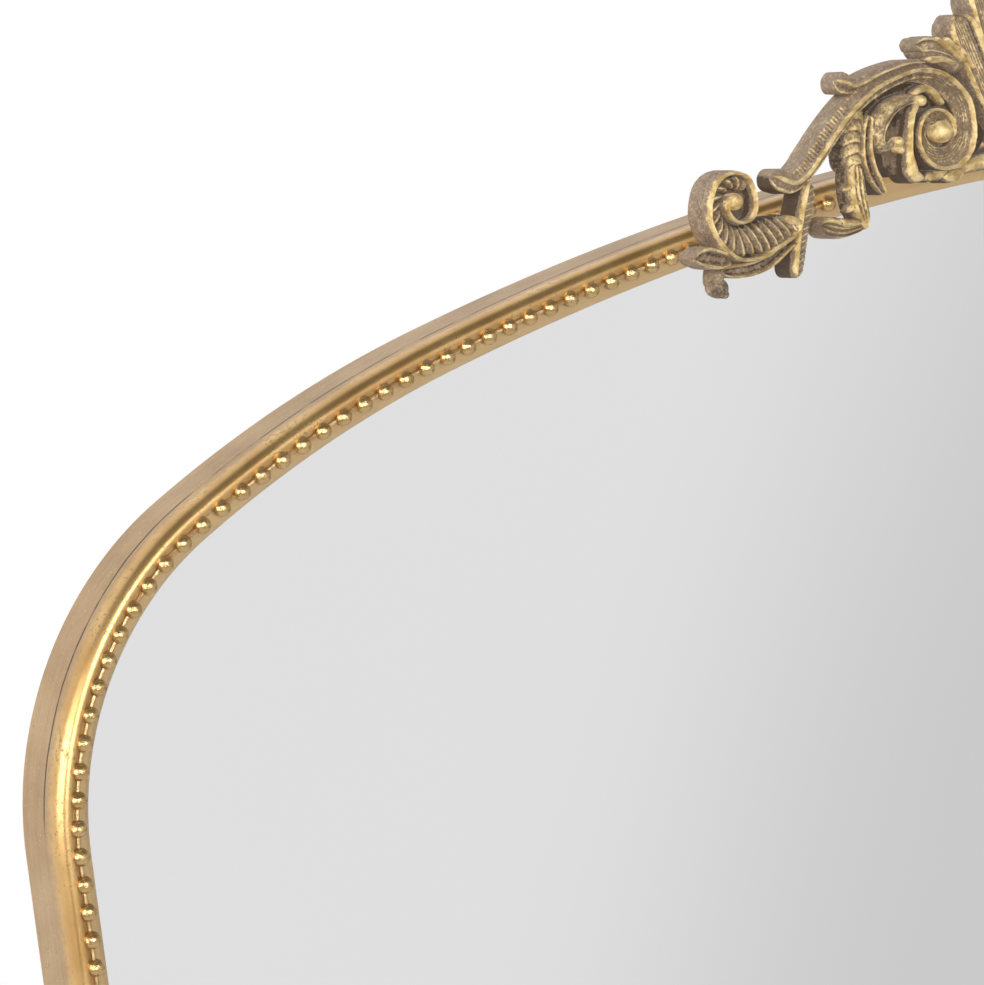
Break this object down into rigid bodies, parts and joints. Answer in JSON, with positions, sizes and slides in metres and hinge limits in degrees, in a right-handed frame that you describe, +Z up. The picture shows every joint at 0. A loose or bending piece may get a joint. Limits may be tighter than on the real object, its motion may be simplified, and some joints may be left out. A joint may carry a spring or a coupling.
{
  "type": "baroque wall mirror",
  "caption": "Wide arched wall mirror in a slender gilt frame with a pearl row and a pierced scrollwork crest, hung from two hinged rings on its back.",
  "frame": {"origin": "on the wall plane, midway between the two wall hooks that the rings hang on", "axes": "+X right as seen from the front, +Y into the wall, +Z up"},
  "size_m": [0.914, 0.0501, 0.6479],
  "materials": {
    "gilt_wood": "gold leaf over gesso, worn on the edges",
    "gilt_rail": "dull champagne gold leaf",
    "gilt_resin": "gold leaf on cast resin pearls",
    "antique_resin": "taupe antique wash with gold on the ridges",
    "silvered_glass": "silvered float glass",
    "hardboard": "plain brown hardboard",
    "steel": "zinc plated",
    "brass": "plain brass plate",
    "rubber": "matt black"
  },
  "bodies": {
    "frame": {"moulding_top_left": "gilt_wood", "moulding_top_right": "gilt_wood", "moulding_left": "gilt_wood", "moulding_right": "gilt_wood", "moulding_bottom": "gilt_wood", "rail_top": "gilt_rail", "rail_shoulder_left": "gilt_rail", "rail_shoulder_right": "gilt_rail", "rail_left": "gilt_rail", "rail_right": "gilt_rail", "rail_bottom": "gilt_rail", "pearls_top_left": "gilt_resin", "pearls_top_right": "gilt_resin", "pearls_left": "gilt_resin", "pearls_right": "gilt_resin", "pearls_bottom": "gilt_resin", "mirror_glass": "silvered_glass", "backing_board": "hardboard", "crest": "antique_resin", "crest_screws": "steel", "retainer_clips": "steel", "clip_screws": "steel", "hanger_strap_left": "brass", "hanger_strap_right": "brass", "hanger_screws": "steel", "wall_bumpers": "rubber"},
    "ring_left": {"hanger_ring_left": "brass"},
    "ring_right": {"hanger_ring_right": "brass"}
  },
  "joints": [
    {"name": "ring_left_hinge", "type": "hinge", "parent": "frame", "child": "ring_left", "pos_m": [-0.4503, -0.004, -0.0091], "axis": [1, 0, 0], "range_deg": [0, 180]},
    {"name": "ring_right_hinge", "type": "hinge", "parent": "frame", "child": "ring_right", "pos_m": [0.4503, -0.004, -0.0091], "axis": [1, 0, 0], "range_deg": [0, 180]}
  ]
}
